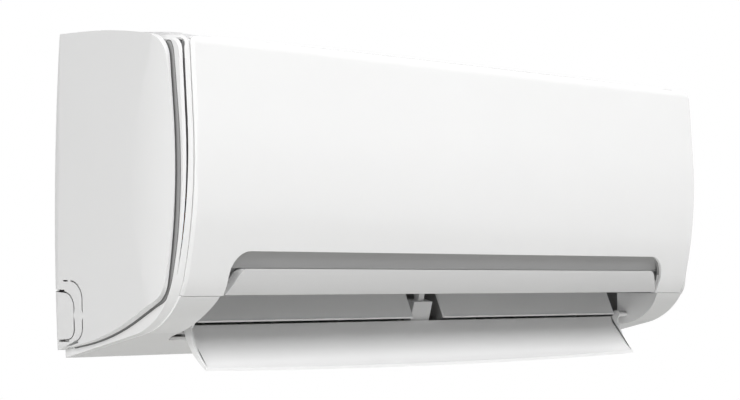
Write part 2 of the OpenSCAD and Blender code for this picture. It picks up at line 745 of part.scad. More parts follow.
module coil_place(i) translate([0, coil_foot[i][0], coil_foot[i][1]]) rotate([coil_tilt[i], 0, 0]) children();

function tube_pitch(i) = coil_len[i] / coil_tubes_in[i];

// Tube places of pack i: depth and height in the pack's own frame
function tube_places(i) = [for (r = row_shares, j = [0 : coil_tubes_in[i] - 1])
  [r * coil_t, tube_pitch(i) * (j + 0.5)]];

module pack_bores(i, r, x0, x1)
  for (t = tube_places(i)) translate([x0, t[0], t[1]]) rotate([0, 90, 0]) cylinder(r = r, h = x1 - x0);

module fin_pack(i) color("lightsteelblue") raised() coil_place(i) difference() {
  block([-coil_left, 0, 0], [coil_right, coil_t, coil_len[i]]);
  pack_bores(i, tube_r + run_gap, -coil_left - cut, coil_right + cut);
  for (x = [-coil_left + fin_pitch : fin_pitch : coil_right - fin_pitch]) {
    block([x, -cut, -cut], [x + fin_pitch * fin_slot_share, coil_t * fin_slot_deep_share, coil_len[i] + cut]);
  }
}
module coil_front_lower() fin_pack(0);
module coil_front_upper() fin_pack(1);
module coil_rear() fin_pack(2);

module coil_tubes() color("peru") raised()
  for (i = [0:2]) coil_place(i) pack_bores(i, tube_r, -coil_left - header_len, coil_right + header_len);

module coil_plate(x0) difference() {
  for (i = [0:2]) coil_place(i)
    block([x0, -end_plate_rim, -end_plate_rim],
          [x0 + end_plate_t, coil_t + end_plate_rim, coil_len[i] + end_plate_rim]);
  for (i = [0:2]) coil_place(i) pack_bores(i, tube_r + run_gap, x0 - cut, x0 + end_plate_t + cut);
}
module coil_plate_left() color("silver") raised() coil_plate(-coil_left - end_plate_t - run_gap);
module coil_plate_right() color("silver") raised() coil_plate(coil_right + run_gap);

module return_bends() color("peru") raised()
  for (i = [0:2]) coil_place(i) for (r = row_shares, j = [0 : 2 : coil_tubes_in[i] - 1]) {
    p = tube_pitch(i);
    for (s = [-1, 1])
      translate([s < 0 ? -coil_left - header_len : coil_right + header_len, r * coil_t, p * (j + 1)])
      rotate([90, 0, 0]) rotate([0, 0, s < 0 ? 90 : -90])
        rotate_extrude(angle = 180) translate([p / 2, 0]) circle(r = tube_r);
  }

module coil_peak_cover() color("silver") raised()
  prism([peak_a, peak_b, peak_b + [0, end_plate_t], peak_a + [0, end_plate_t]], -coil_left, coil_right);
peak_a = coil_foot[1] + coil_len[1] * [sin(coil_lean), cos(coil_lean)] + [-cut, end_plate_rim];
peak_b = coil_foot[2] + coil_len[2] * [-sin(coil_lean), cos(coil_lean)]
  + coil_t * [cos(coil_lean), sin(coil_lean)] + [cut, end_plate_rim];

// Refrigerant pipes along the chassis's lower rear edge

suction_r = 6.35;
liquid_r = 3.2;
suction_at = at([0.89, 0.1]);
liquid_at = at([0.905, 0.165]);
suction_x = 366;
liquid_x = 356;
pipe_end = 322;
suction_top_share = 0.72;
liquid_top_share = 0.68;
elbow_share = 2.2;
nut_len = 16;
nut_r_share = 1.75;
nut_cone_share = 1.25;
clamp_rim = 2;
clamp_x_shares = [-0.75, 0.45];

// Pipe from the coil's right end, down beside the scroll and along the rear to the left end
module pipe_run(p, r, z1, x1) {
  elbow = elbow_share * r;
  rod(p, r, -pipe_end, x1 - elbow);
  translate([x1 - elbow, p[0], p[1] + elbow]) rotate([90, 0, 0]) rotate([0, 0, -90])
    rotate_extrude(angle = 90) translate([elbow, 0]) circle(r = r);
  translate([x1, p[0], p[1] + elbow]) cylinder(r = r, h = z1 - p[1] - 2 * elbow);
  translate([x1 - elbow, p[0], z1 - elbow]) rotate([90, 0, 0])
    rotate_extrude(angle = 90) translate([elbow, 0]) circle(r = r);
  translate([coil_right + 2 * header_len, p[0], z1]) rotate([0, 90, 0])
    cylinder(r = r, h = x1 - elbow - coil_right - 2 * header_len);
}
module suction_pipe() color("peru") raised()
  pipe_run(suction_at, suction_r, case_h * suction_top_share, suction_x);
module liquid_pipe() color("peru") raised()
  pipe_run(liquid_at, liquid_r, case_h * liquid_top_share, liquid_x);

module flare_nuts() color("goldenrod") raised() {
  for (q = [[suction_at, suction_r], [liquid_at, liquid_r]]) difference() {
    translate([-pipe_end - nut_len, q[0][0], q[0][1]]) rotate([0, 90, 0])
      cylinder(r = q[1] * nut_r_share, h = nut_len, $fn = 6);
    rod(q[0], q[1] + run_gap, -pipe_end - nut_len - cut, -pipe_end + cut);
    rod(q[0], q[1] * nut_cone_share, -pipe_end - nut_len - cut, -pipe_end - nut_len / 2);
  }
}

module pipe_clamp() color("silver") raised() for (k = clamp_x_shares) difference() {
  x = k * duct_half;
  block([x, suction_at[0] - suction_r - clamp_rim, suction_at[1] - suction_r - wall],
        [x + 3 * wall, back_y - back_t - run_gap, liquid_at[1] + liquid_r + wall]);
  rod(suction_at, suction_r + run_gap, x - cut, x + 3 * wall + cut);
  rod(liquid_at, liquid_r + run_gap, x - cut, x + 3 * wall + cut);
}

// Fan rotor, shaft, bearing and motor

disc_t = 2;
blade_in_share = 0.8;
blade_out_share = 0.99;
blade_steps = 5;
blade_sweep = 26;
hub_r = 12;
hub_len = 24;
ring_in_share = 0.72;

// Section of one blade, a curved strip from the inner to the outer radius
function blade_line(d) = [for (k = [0 : blade_steps])
  let (t = k / blade_steps, r = fan_r * (blade_in_share + (blade_out_share - blade_in_share) * t),
       a = blade_sweep * t * t + d * 180 / (PI * r))
  r * [cos(a), sin(a)]];

module fan_rotor() color("dimgray") raised() translate([0, fan_axis[0], fan_axis[1]]) rotate([90, 0, 90]) {
  len = fan_left + fan_right;
  translate([0, 0, -fan_left]) {
    for (b = [0 : blades - 1]) rotate([0, 0, b * 360 / blades]) translate([0, 0, disc_t / 2])
      linear_extrude(len - disc_t)
        polygon(concat(blade_line(-blade_t / 2), reversed(blade_line(blade_t / 2))));
    for (c = [1 : fan_cells - 1]) translate([0, 0, len * c / fan_cells - disc_t / 2]) difference() {
      cylinder(r = fan_r, h = disc_t);
      translate([0, 0, -cut]) cylinder(r = fan_r * ring_in_share, h = disc_t + 2 * cut);
    }
    difference() {
      union() {
        cylinder(r = fan_r, h = disc_t);
        cylinder(r = hub_r, h = hub_len / 2);
        translate([0, 0, len - disc_t]) cylinder(r = fan_r, h = disc_t);
        translate([0, 0, len - hub_len]) cylinder(r = hub_r, h = hub_len);
      }
      translate([0, 0, -cut]) cylinder(r = shaft_r, h = hub_len / 2 + 2 * cut);
      translate([0, 0, len - hub_len - cut]) cylinder(r = shaft_r, h = hub_len + 2 * cut);
    }
  }
}

module fan_shaft() color("silver") raised() {
  rod(fan_axis, shaft_r, -fan_left - fan_wall_gap - bearing_len - wall, -fan_left + hub_len / 2);
  rod(fan_axis, shaft_r, fan_right - hub_len, fan_right + fan_wall_gap + 3 * bearing_len);
}

bearing_x = -fan_left - fan_wall_gap - wall;
module fan_bearing() color("silver") raised() difference() {
  rod(fan_axis, bearing_r, bearing_x - bearing_len, bearing_x);
  rod(fan_axis, shaft_r + run_gap, bearing_x - bearing_len - cut, bearing_x + cut);
}
module bearing_holder() color("black") raised() difference() {
  rod(fan_axis, holder_r, bearing_x - bearing_len, bearing_x);
  rod(fan_axis, bearing_r, bearing_x - bearing_len - cut, bearing_x + cut);
}

motor_gap = 1;
motor_x = fan_right + fan_wall_gap + wall + motor_gap;
clamp_foot = at([0.8735, 0])[0];
boss_r = 15;
clamp_w = 18;
clamp_t = 3;
module fan_motor() color("darkgray") raised() difference() {
  union() {
    rod(fan_axis, motor_r, motor_x + wall, motor_x + motor_len);
    rod(fan_axis, boss_r, motor_x, motor_x + motor_len + wall);
  }
  rod(fan_axis, shaft_r + run_gap, motor_x - cut, fan_right + fan_wall_gap + 3 * bearing_len + motor_gap);
}
module motor_clamp() color("silver") raised() difference() {
  union() {
    rod(fan_axis, motor_r + clamp_t, motor_x + clamp_w, motor_x + 2 * clamp_w);
    block([motor_x + clamp_w, fan_axis[0], fan_axis[1] - clamp_w / 2],
          [motor_x + 2 * clamp_w, clamp_foot, fan_axis[1] + clamp_w / 2]);
  }
  rod(fan_axis, motor_r + run_gap, motor_x + clamp_w - cut, motor_x + 2 * clamp_w + cut);
}

// Electrical box at the right end

box_left = 345.5;
box_right = 377.2;
box_low = concat([box_left], at([0.201, 0.56]));
box_high = concat([box_right], at([0.528, 0.9]));
box_wall = 2;
module electrical_box() color("whitesmoke") raised() difference() {
  block(box_low, box_high);
  block(box_low + box_wall * [1, -1, 1] - [0, cut, 0], box_high - box_wall * [1, 1, 1]);
}
module box_cover() color("silver") raised()
  block([box_low[0], box_low[1] - box_wall - run_gap, box_low[2]],
        [box_high[0], box_low[1] - run_gap, box_high[2]]);
module circuit_board() color("seagreen") raised()
  block([box_low[0] + box_wall, box_low[1] + box_wall, box_low[2] + 2 * box_wall],
        [box_low[0] + box_wall + board_t, box_high[1] - 2 * box_wall, box_high[2] - 2 * box_wall]);

terminal_inset = 6;
terminal_rise = 8;
terminal_base = 4;
terminal_deep = 14;
terminal_h = 38;
poles = 4;
pole_len = 16;
pole_w = 9.4;
pole_pitch = 10;
pole_screw_r = 2.8;
module terminal_block() color("ivory") raised()
  translate(box_low + [box_wall + board_t, terminal_inset, terminal_rise]) {
    cube([terminal_base, terminal_deep, terminal_h]);
    for (k = [0 : poles - 1]) translate([0, 0, k * pole_pitch]) difference() {
      cube([pole_len, terminal_deep, pole_w]);
      translate([pole_len - cut, terminal_deep / 2, pole_w / 2]) rotate([0, 90, 0])
        cylinder(r = pole_screw_r, h = 2 * cut);
    }
  }

sensor_back = 30;
sensor_off = 4;
sensor_z_share = 0.42;
sensor_r = 2.2;
sensor_len = 26;
sensor_clip_h = 3;
module room_sensor() color("black") raised()
  translate([coil_right - sensor_back, coil_foot[0][0] - sensor_off, case_h * sensor_z_share]) {
    rotate([0, 90, 0]) cylinder(r = sensor_r, h = sensor_len);
    block([sensor_len / 3, 0, -sensor_clip_h / 2],
          [sensor_len / 3 + sensor_off, sensor_off - run_gap, sensor_clip_h / 2]);
  }

// Stepper motors for the flap and the inner louver

stepper_r = 14;
stepper_len = 19;
stepper_off = 8;
flap_motor_way = [0.6, 0.8];
module stepper(p, off, r, x0) difference() {
  union() {
    rod(p + off, stepper_r, x0 + run_gap, x0 + stepper_len);
    rod(p + off, stepper_r / 2, x0 + stepper_len, x0 + stepper_len + wall);
  }
  rod(p, r + run_gap, x0 - cut, x0 + stepper_len / 2);
}
module flap_motor() color("silver") raised()
  stepper(flap_axis, stepper_off * flap_motor_way, flap_pin_r, duct_half + wall + run_gap);
module louver_motor() color("silver") raised() mirror([1, 0, 0])
  stepper(louver_axis, stepper_off * [1, 0], louver_shaft_r, duct_half + wall + run_gap);

// Centre bracket that carries the inner louver between its two halves

pedestal_half = 14;
lug_half = 4;
pedestal_shares = [[0.421, 0.0885], [0.389, 0.165], [0.447, 0.175], [0.47, 0.0845]];
lug_shares = [[0.41, 0.16], [0.395, 0.2], [0.418, 0.222], [0.44, 0.2], [0.44, 0.16]];
module centre_bracket() color("gainsboro") raised() difference() {
  union() {
    prism(sharp(pedestal_shares), -pedestal_half, pedestal_half);
    prism(sharp(lug_shares), -lug_half, lug_half);
  }
  rod(louver_axis, louver_shaft_r + run_gap, -pedestal_half - cut, pedestal_half + cut);
}

// Vanes, their carriers in the duct's floor and their link bars

vane_shares = [[0.386, 0.1145], [0.476, 0.0895], [0.55, 0.0965], [0.54, 0.168], [0.529, 0.209],
  [0.452, 0.209]];
vane_axis = at([0.529, 0.067]);
vane_top = at([0.529, 0.209]);
crank_pin_r = 1.5;
crank_root = 1;
crank_over = 1.5;
vane_pin_share = 0.03;
link_w = 6;
link_t = 2.5;
function vane_x(i) = let (k = i < 4 ? i - 4 : i - 3) sign(k) * (vane_first + vane_pitch * (abs(k) - 1));

module vane(i) color("silver") raised() translate([vane_x(i), 0, 0]) {
  prism(sharp(vane_shares), -vane_t / 2, vane_t / 2);
  translate([0, vane_axis[0], vane_axis[1]]) cylinder(r = vane_pin_r, h = case_h * vane_pin_share);
  translate([0, vane_axis[0] - vane_crank, vane_top[1] - crank_root])
    cylinder(r = crank_pin_r, h = crank_root + link_t + crank_over);
}
module vane_1() vane(0);
module vane_2() vane(1);
module vane_3() vane(2);
module vane_4() vane(3);
module vane_5() vane(4);
module vane_6() vane(5);
module vane_7() vane(6);
module vane_8() vane(7);

module link_bar(first) color("silver") raised() difference() {
  block([vane_x(first) - link_w, vane_axis[0] - vane_crank - link_w / 2, vane_top[1] + seat_gap],
        [vane_x(first + 3) + link_w, vane_axis[0] - vane_crank + link_w / 2,
         vane_top[1] + seat_gap + link_t]);
  for (i = [first : first + 3])
    translate([vane_x(i), vane_axis[0] - vane_crank, vane_top[1]])
      cylinder(r = crank_pin_r + run_gap, h = 2 * link_t);
}
module link_bar_left() link_bar(0);
module link_bar_right() link_bar(4);

module vane_carrier(first) color("gainsboro") raised() difference() {
  block([vane_x(first) - carrier_end, carrier_low[0], carrier_low[1]],
        [vane_x(first + 3) + carrier_end, carrier_high[0], carrier_high[1]]);
  for (i = [first : first + 3])
    translate([vane_x(i), vane_axis[0], carrier_low[1] - cut])
      cylinder(r = vane_pin_r + run_gap, h = carrier_high[1] - carrier_low[1] + 2 * cut);
}
module vane_carrier_left() vane_carrier(0);
module vane_carrier_right() vane_carrier(4);

// Inner louver: two plates on one shaft

louver_hub_r = 3.2;
louver_root_share = 0.6;
louver_bead_share = 0.62;
module louver() {
  low = louver_axis + louver_h * [-sin(louver_lean), -cos(louver_lean)];
  n = [cos(louver_lean), -sin(louver_lean)];
  difference() {
    union() {
      prism([louver_axis - n * louver_t * louver_root_share, low - n * louver_t / 2,
             low + n * louver_t / 2, louver_axis + n * louver_t * louver_root_share],
            louver_gap, louver_end);
      rod(low, louver_t * louver_bead_share, louver_gap, louver_end);
      rod(louver_axis, louver_hub_r, louver_gap, louver_end);
    }
    rod(louver_axis, louver_shaft_r, louver_gap - cut, louver_end + cut);
  }
}
module louver_right() color("gainsboro") raised() louver();
module louver_left() color("gainsboro") raised() mirror([1, 0, 0]) louver();
module louver_shaft() color("silver") raised()
  rod(louver_axis, louver_shaft_r, -duct_half - wall - stepper_len / 3, duct_half + wall - run_gap);

// Main flap, drawn closed and turned open

flap_top_share = 0.168;
flap_top = case_h * flap_top_share;
flap_low_share = 0.0775;
flap_low = case_h * flap_low_share;
flap_lug_r = 4.5;
flap_rib_t = 2.4;
flap_rib_deep = 11;
module flap_closed() {
  p = between(skin, flap_top + flap_bow, flap_low);
  bow_r = (flap_half * flap_half + flap_bow * flap_bow) / (2 * flap_bow);
  bow = asin(flap_half / bow_r);
  front = concat([for (k = [-12:12])
    [bow_r * sin(bow * k / 12), flap_top + flap_bow - bow_r + bow_r * cos(bow * k / 12)]],
                 [[flap_half, flap_low - cut], [-flap_half, flap_low - cut]]);
  intersection() {
    prism(strip(p, flap_t), -flap_half, flap_half);
    front_prism(front, -case_d - cut, 0);
  }
  both_ends() {
    prism(strip(between(skin, flap_top - cut, flap_low), flap_t, flap_rib_deep),
          flap_half - flap_rib_t, flap_half);
    rod(flap_axis, flap_lug_r, flap_half - flap_rib_t, flap_half);
    rod(flap_axis, flap_pin_r, flap_half - flap_rib_t, duct_half + wall - run_gap);
  }
  rod(flap_axis, flap_pin_r, duct_half, duct_half + wall + stepper_len / 3);
}
module flap() color("white") raised() turned(flap_axis, flap_open) flap_closed();

// Front panel, hinged at its top

hinge_at = at([0.09, 0.933]);
hinge_pin_r = 2.2;
hinge_x = 369;
hinge_ear = 4;
lip_fill_share = 0.02;
lip_fill = case_h * lip_fill_share;
panel_round = 4;
panel_corner_r = 8;
module front_panel() color("white") raised() difference() {
  r = (panel_half * panel_half + panel_crown * panel_crown) / (2 * panel_crown);
  h = asin(panel_half / r);
  top_z = skin[0][1] + 4 * arc_fit;
  side_z = top_z - panel_crown;
  top = rounded_outline(concat([[-panel_half, 0, 0], [-panel_half, side_z, panel_corner_r]],
    [for (k = [-10:10]) [r * sin(h * k / 12), top_z - r + r * cos(h * k / 12), 0]],
    [[panel_half, side_z, panel_corner_r], [panel_half, 0, 0]]));
  union() {
    intersection() {
      union() {
        prism(strip(between(skin, full_skin_top, parting_z), panel_t), -panel_half, panel_half);
        prism(concat(between(skin, full_skin_top, skin[0][1] - lip_fill),
                     [[skin[0][0], skin[0][1] - lip_fill]]), -panel_half, panel_half);
      }
      front_prism(top, -case_d - cut, 0);
      union() {
        prism(body_outline, -panel_half + panel_round, panel_half - panel_round);
        both_ends()
          drawn_prism(body_outline, panel_half - panel_round - cut, panel_half + cut, -cut / 2, panel_t);
      }
    }
    both_ends() {
      prism([hinge_at + [hinge_ear, -hinge_ear], hinge_at + [hinge_ear, lip_fill],
             hinge_at + [-hinge_ear, lip_fill], hinge_at + [-hinge_ear, -hinge_ear]],
            hinge_x, hinge_x + wall);
      rod(hinge_at, hinge_pin_r, hinge_x, panel_half - cover_gap);
    }
  }
  front_prism(notch_front, -case_d - cut, -cut);
}

// Small parts

button_x = 374.8;
button_z_share = 0.59;
button_z = case_h * button_z_share;
button_r = 4;
button_face = at([0.0185, 0])[0];
button_rim = 1;
module emergency_button() color("gainsboro") raised()
  translate([button_x, button_face, button_z]) rotate([-90, 0, 0]) {
    cylinder(r = button_r, h = wall + button_rim);
    translate([0, 0, wall]) cylinder(r = button_r + button_rim, h = button_rim);
  }

cap_r = 5;
cup_t = 1.5;
screw_head_t = 1;
cap_z = 13;
module casing_screws() color("silver") raised()
  for (k = screw_x_shares) translate([k * duct_half, strip_screw[0], cap_z - screw_head_t - run_gap]) {
    cylinder(r = 2 * strip_screw_r, h = screw_head_t);
    cylinder(r = strip_screw_r, h = 5 * wall);
  }
module screw_caps() color("whitesmoke") raised()
  for (k = screw_x_shares) translate([k * duct_half, strip_screw[0], cap_z - 2 * wall])
    cylinder(r = cap_r, h = wall);

catch_x = 270;
catch_w = 12;
catch_low = at([0.06, 0.3505]);
catch_high = at([0.087, 0.37]);
module panel_catches() color("whitesmoke") raised() both_ends()
  block(concat([catch_x], catch_low), concat([catch_x + catch_w], catch_high));

mounting_plate();
rear_chassis();
front_casing();
intake_grille();
left_side_cover();
right_side_cover();
display_bar();
display_board();
drain_pan();
drain_plug();
coil_front_lower();
coil_front_upper();
coil_rear();
coil_peak_cover();
coil_tubes();
return_bends();
coil_plate_left();
coil_plate_right();
suction_pipe();
liquid_pipe();
flare_nuts();
pipe_clamp();
fan_motor();
motor_clamp();
fan_bearing();
bearing_holder();
electrical_box();
box_cover();
circuit_board();
terminal_block();
room_sensor();
flap_motor();
louver_motor();
centre_bracket();
vane_carrier_left();
vane_carrier_right();
casing_screws();
screw_caps();
panel_catches();
front_panel();
flap();
louver_left();
louver_right();
louver_shaft();
vane_1();
vane_2();
vane_3();
vane_4();
vane_5();
vane_6();
vane_7();
vane_8();
link_bar_left();
link_bar_right();
fan_rotor();
fan_shaft();
filter_left();
filter_right();
emergency_button();
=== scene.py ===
# Indoor unit of a mini split air conditioner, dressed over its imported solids.
# Metres throughout: X along the unit, the wall at y = 0, the room at -Y, Z up.
import json
import math

import bpy
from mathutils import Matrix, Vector


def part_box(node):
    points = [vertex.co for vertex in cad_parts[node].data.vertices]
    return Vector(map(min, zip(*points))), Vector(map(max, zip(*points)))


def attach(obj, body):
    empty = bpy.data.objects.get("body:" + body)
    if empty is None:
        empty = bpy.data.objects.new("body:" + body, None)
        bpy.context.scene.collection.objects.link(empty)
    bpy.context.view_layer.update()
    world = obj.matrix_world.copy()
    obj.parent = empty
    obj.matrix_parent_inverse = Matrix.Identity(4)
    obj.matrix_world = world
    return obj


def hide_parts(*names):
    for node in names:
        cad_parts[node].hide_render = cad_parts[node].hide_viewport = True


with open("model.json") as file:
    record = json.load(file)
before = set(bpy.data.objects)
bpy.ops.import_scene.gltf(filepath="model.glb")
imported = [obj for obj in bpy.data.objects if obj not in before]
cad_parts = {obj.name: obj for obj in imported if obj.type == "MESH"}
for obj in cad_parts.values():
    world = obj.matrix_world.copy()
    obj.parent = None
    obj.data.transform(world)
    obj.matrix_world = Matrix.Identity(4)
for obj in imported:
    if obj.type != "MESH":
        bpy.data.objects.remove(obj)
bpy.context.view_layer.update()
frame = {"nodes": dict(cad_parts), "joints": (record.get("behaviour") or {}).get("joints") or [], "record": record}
MM = 0.001


# Colour and node helpers

def colour(hex_code):
    """sRGB hex to the linear colour that the shader takes."""
    parts = [int(hex_code[i:i + 2], 16) / 255 for i in (0, 2, 4)]
    return tuple(c / 12.92 if c <= 0.04045 else ((c + 0.055) / 1.055) ** 2.4 for c in parts) + (1.0,)


def add_node(tree, kind, settings=None, **inputs):
    """Adds one node: settings are its properties, inputs are sockets or plain values, by name or as i and a number."""
    made = tree.nodes.new(kind)
    for key, value in (settings or {}).items():
        setattr(made, key, value)
    for key, value in inputs.items():
        by_number = key[0] == "i" and key[1:].isdigit()
        slot = made.inputs[int(key[1:]) if by_number else key.replace("_", " ")]
        if isinstance(value, bpy.types.NodeSocket):
            tree.links.new(value, slot)
        else:
            slot.default_value = value
    return made


def new_material(name, hex_code, roughness, metallic=0.0, ior=1.5):
    """A Principled material with its plain values set on the shader's own sockets."""
    made = bpy.data.materials.new(name)
    made.use_nodes = True
    tree = made.node_tree
    shader = tree.nodes["Principled BSDF"]
    shader.inputs["Base Color"].default_value = colour(hex_code)
    shader.inputs["Roughness"].default_value = roughness
    shader.inputs["Metallic"].default_value = metallic
    if not metallic:
        shader.inputs["IOR"].default_value = ior
    return made, tree, shader


def object_place(tree, scale=(1, 1, 1)):
    place = add_node(tree, "ShaderNodeTexCoord")
    return add_node(tree, "ShaderNodeMapping", Vector=place.outputs["Object"], Scale=scale).outputs[0]


PLASTIC_IOR = 1.53
DRIFT_SCALE = 7.0
WAVE_SCALE = 18.0
GRAIN_STRENGTH = 0.6


def moulded(name, hex_code, second_hex, roughness, rough_spread, grain_mm, grain_height, wave_height=0.0):
    """Injection-moulded plastic: tool texture as a fine bump, slow sink waves, and a slight drift of tone."""
    made, tree, shader = new_material(name, hex_code, roughness, ior=PLASTIC_IOR)
    place = object_place(tree)
    slow = add_node(tree, "ShaderNodeTexNoise", Vector=place, Scale=DRIFT_SCALE, Detail=2.0)
    tone = add_node(tree, "ShaderNodeMix", {"data_type": "RGBA"}, Factor=slow.outputs["Fac"],
                    i6=colour(hex_code), i7=colour(second_hex))
    tree.links.new(tone.outputs[2], shader.inputs["Base Color"])
    grain = add_node(tree, "ShaderNodeTexNoise", Vector=place, Scale=1 / (grain_mm * MM), Detail=2.0)
    spread = add_node(tree, "ShaderNodeMapRange", Value=grain.outputs["Fac"], i3=roughness - rough_spread,
                      i4=roughness + rough_spread)
    tree.links.new(spread.outputs[0], shader.inputs["Roughness"])
    bump = add_node(tree, "ShaderNodeBump", Height=grain.outputs["Fac"], Strength=GRAIN_STRENGTH,
                    Distance=grain_height * MM)
    if wave_height:
        wave = add_node(tree, "ShaderNodeTexNoise", Vector=place, Scale=WAVE_SCALE, Detail=1.0)
        bump = add_node(tree, "ShaderNodeBump", Height=wave.outputs["Fac"], Strength=1.0,
                        Distance=wave_height * MM, Normal=bump.outputs[0])
    tree.links.new(bump.outputs[0], shader.inputs["Normal"])
    return made


# Camera: 740 x 400 frame, long lens, below the unit's middle and to its left

IMAGE = (740, 400)
FOCAL_PX = 2091
EYE = Vector((-1.599, -1.5172, -0.079))
HEADING = (0.7349, 0.6782)
HORIZON_ROW = 280
PITCH = math.atan((HORIZON_ROW - IMAGE[1] / 2) / FOCAL_PX)
SENSOR_MM = 36

camera_data = bpy.data.cameras.new("photo_camera")
camera_data.sensor_width = SENSOR_MM
camera_data.lens = SENSOR_MM * FOCAL_PX / IMAGE[0]
camera = bpy.data.objects.new("photo_camera", camera_data)
bpy.context.scene.collection.objects.link(camera)
aim = Vector((HEADING[0] * math.cos(PITCH), HEADING[1] * math.cos(PITCH), math.sin(PITCH)))
camera.location = EYE
camera.rotation_mode = "QUATERNION"
camera.rotation_quaternion = aim.to_track_quat("-Z", "Y")
bpy.context.scene.camera = camera
bpy.context.scene.view_settings.view_transform = "Standard"


# Studio: a room brighter overhead, and soft boxes overhead in front, at the left and in front

world = bpy.data.worlds.new("studio")
bpy.context.scene.world = world
world.use_nodes = True
sky = world.node_tree
sky_shader = sky.nodes["Background"]
SKY_LOW, SKY_LEVEL, SKY_HIGH = 0.05, 0.05, 0.34
way = add_node(sky, "ShaderNodeTexCoord")
up = add_node(sky, "ShaderNodeSeparateXYZ", Vector=way.outputs["Generated"])
ramp = add_node(sky, "ShaderNodeValToRGB")
height = add_node(sky, "ShaderNodeMapRange", Value=up.outputs["Z"], i1=-1.0, i2=1.0)
sky.links.new(height.outputs[0], ramp.inputs["Fac"])
ramp.color_ramp.elements[0].color = (SKY_LOW, SKY_LOW, SKY_LOW, 1)
ramp.color_ramp.elements[1].color = (SKY_HIGH, SKY_HIGH, SKY_HIGH, 1)
level_stop = ramp.color_ramp.elements.new(0.5)
level_stop.color = (SKY_LEVEL, SKY_LEVEL, SKY_LEVEL, 1)
# what the camera sees behind the unit, and what gloss and glass mirror, is plain white
ray = add_node(sky, "ShaderNodeLightPath")
mirrored = add_node(sky, "ShaderNodeMath", {"operation": "MAXIMUM"}, i0=ray.outputs["Is Glossy Ray"],
                    i1=ray.outputs["Is Transmission Ray"])
plain = add_node(sky, "ShaderNodeMath", {"operation": "MAXIMUM"}, i0=ray.outputs["Is Camera Ray"],
                 i1=mirrored.outputs[0])
seen = add_node(sky, "ShaderNodeMix", {"data_type": "RGBA"}, Factor=plain.outputs[0],
                i6=ramp.outputs["Color"], i7=(1, 1, 1, 1))
sky.links.new(seen.outputs[2], sky_shader.inputs["Color"])


def soft_box(name, place, target, width, height_m, power):
    data = bpy.data.lights.new(name, "AREA")
    data.shape = "RECTANGLE"
    data.size = width
    data.size_y = height_m
    data.energy = power
    box = bpy.data.objects.new(name, data)
    box.location = place
    box.rotation_mode = "QUATERNION"
    box.rotation_quaternion = (Vector(target) - Vector(place)).to_track_quat("-Z", "Y")
    bpy.context.scene.collection.objects.link(box)
    return box


soft_box("overhead_front_box", (0, -1.9, 1.9), (0, -0.1, 0), 2.4, 1.2, 62)
soft_box("left_box", (-2.6, -0.3, 0.3), (-0.3, -0.1, 0), 1.4, 1.4, 27)
soft_box("front_fill_box", (0.4, -2.8, 0.5), (0, -0.1, 0), 2.0, 1.4, 4)

bpy.ops.object.select_all(action="DESELECT")
FLOOR_WIDE = 12
FLOOR_Z = -1.1
FLOOR_PAINT = "F4F4F2"
FLOOR_GRAIN = 60.0
FLOOR_GRAIN_HIGH = 0.2 * MM
bpy.ops.mesh.primitive_plane_add(size=FLOOR_WIDE, location=(0, 0, FLOOR_Z))
floor = bpy.context.object
floor.name = "pale_floor"
floor_paint, floor_tree, floor_shader = new_material("pale floor paint", FLOOR_PAINT, 0.7)
floor_grain = add_node(floor_tree, "ShaderNodeTexNoise", Vector=object_place(floor_tree), Scale=FLOOR_GRAIN, Detail=2.0)
floor_bump = add_node(floor_tree, "ShaderNodeBump", Height=floor_grain.outputs["Fac"], Strength=0.2,
                      Distance=FLOOR_GRAIN_HIGH)
floor_tree.links.new(floor_bump.outputs[0], floor_shader.inputs["Normal"])
floor.data.materials.append(floor_paint)


# Finishes

FINISHES = {
    # glossy ABS panel: polished tool, so only slow sink waves
    "panel_gloss": moulded("gloss ABS, polished tool", "F5F5F5", "F2F2F2", 0.16, 0.02, 2.0, 0.004, 0.02),
    "casing_white": moulded("gloss ABS, casing", "F0F0F0", "EDEDED", 0.24, 0.03, 1.6, 0.006, 0.02),
    "flap_white": moulded("gloss ABS, flap", "F7F7F7", "F4F4F4", 0.18, 0.02, 2.0, 0.004, 0.02),
    # spark-eroded texture: about 0.3 mm on the real cover, drawn at 1.2 mm so that it shows
    "cover_matte": moulded("textured ABS, side cover", "EBEBEB", "E7E7E7", 0.52, 0.05, 1.2, 0.02),
    "bar_pale": moulded("satin ABS, display bar", "DBDBDB", "D6D6D6", 0.30, 0.03, 1.4, 0.006),
    "louver_grey": moulded("satin ABS, louver", "EAEAEA", "E4E4E4", 0.38, 0.04, 1.2, 0.01),
    "vane_grey": moulded("satin polypropylene, vanes", "9E9E9E", "969696", 0.45, 0.04, 1.2, 0.01),
    "chassis_grey": moulded("polystyrene, rear chassis", "BABABA", "B2B2B2", 0.55, 0.05, 1.4, 0.02),
    "inner_white": moulded("polystyrene, drain pan", "DCDDDE", "D4D5D6", 0.5, 0.05, 1.4, 0.02),
    "filter_grey": moulded("polypropylene, filter", "C4C8CC", "BCC0C4", 0.5, 0.05, 1.4, 0.02),
    "trim_white": moulded("ABS, small trim", "E6E7E8", "E0E1E2", 0.35, 0.03, 1.2, 0.008),
    "rotor_black": moulded("glass-filled styrene, fan", "2A2B2D", "232426", 0.4, 0.05, 1.0, 0.02),
    "rubber_black": moulded("moulded rubber", "1B1B1C", "222223", 0.7, 0.06, 0.8, 0.04),
    "board_green": moulded("solder mask", "1E5B38", "174A2D", 0.35, 0.04, 1.0, 0.01),
    "terminal_ivory": moulded("urea, terminal block", "DCD6C4", "D2CCB8", 0.4, 0.04, 1.0, 0.01),
}


METAL_SPREAD = 0.06
LINE_HIGH = 0.01 * MM


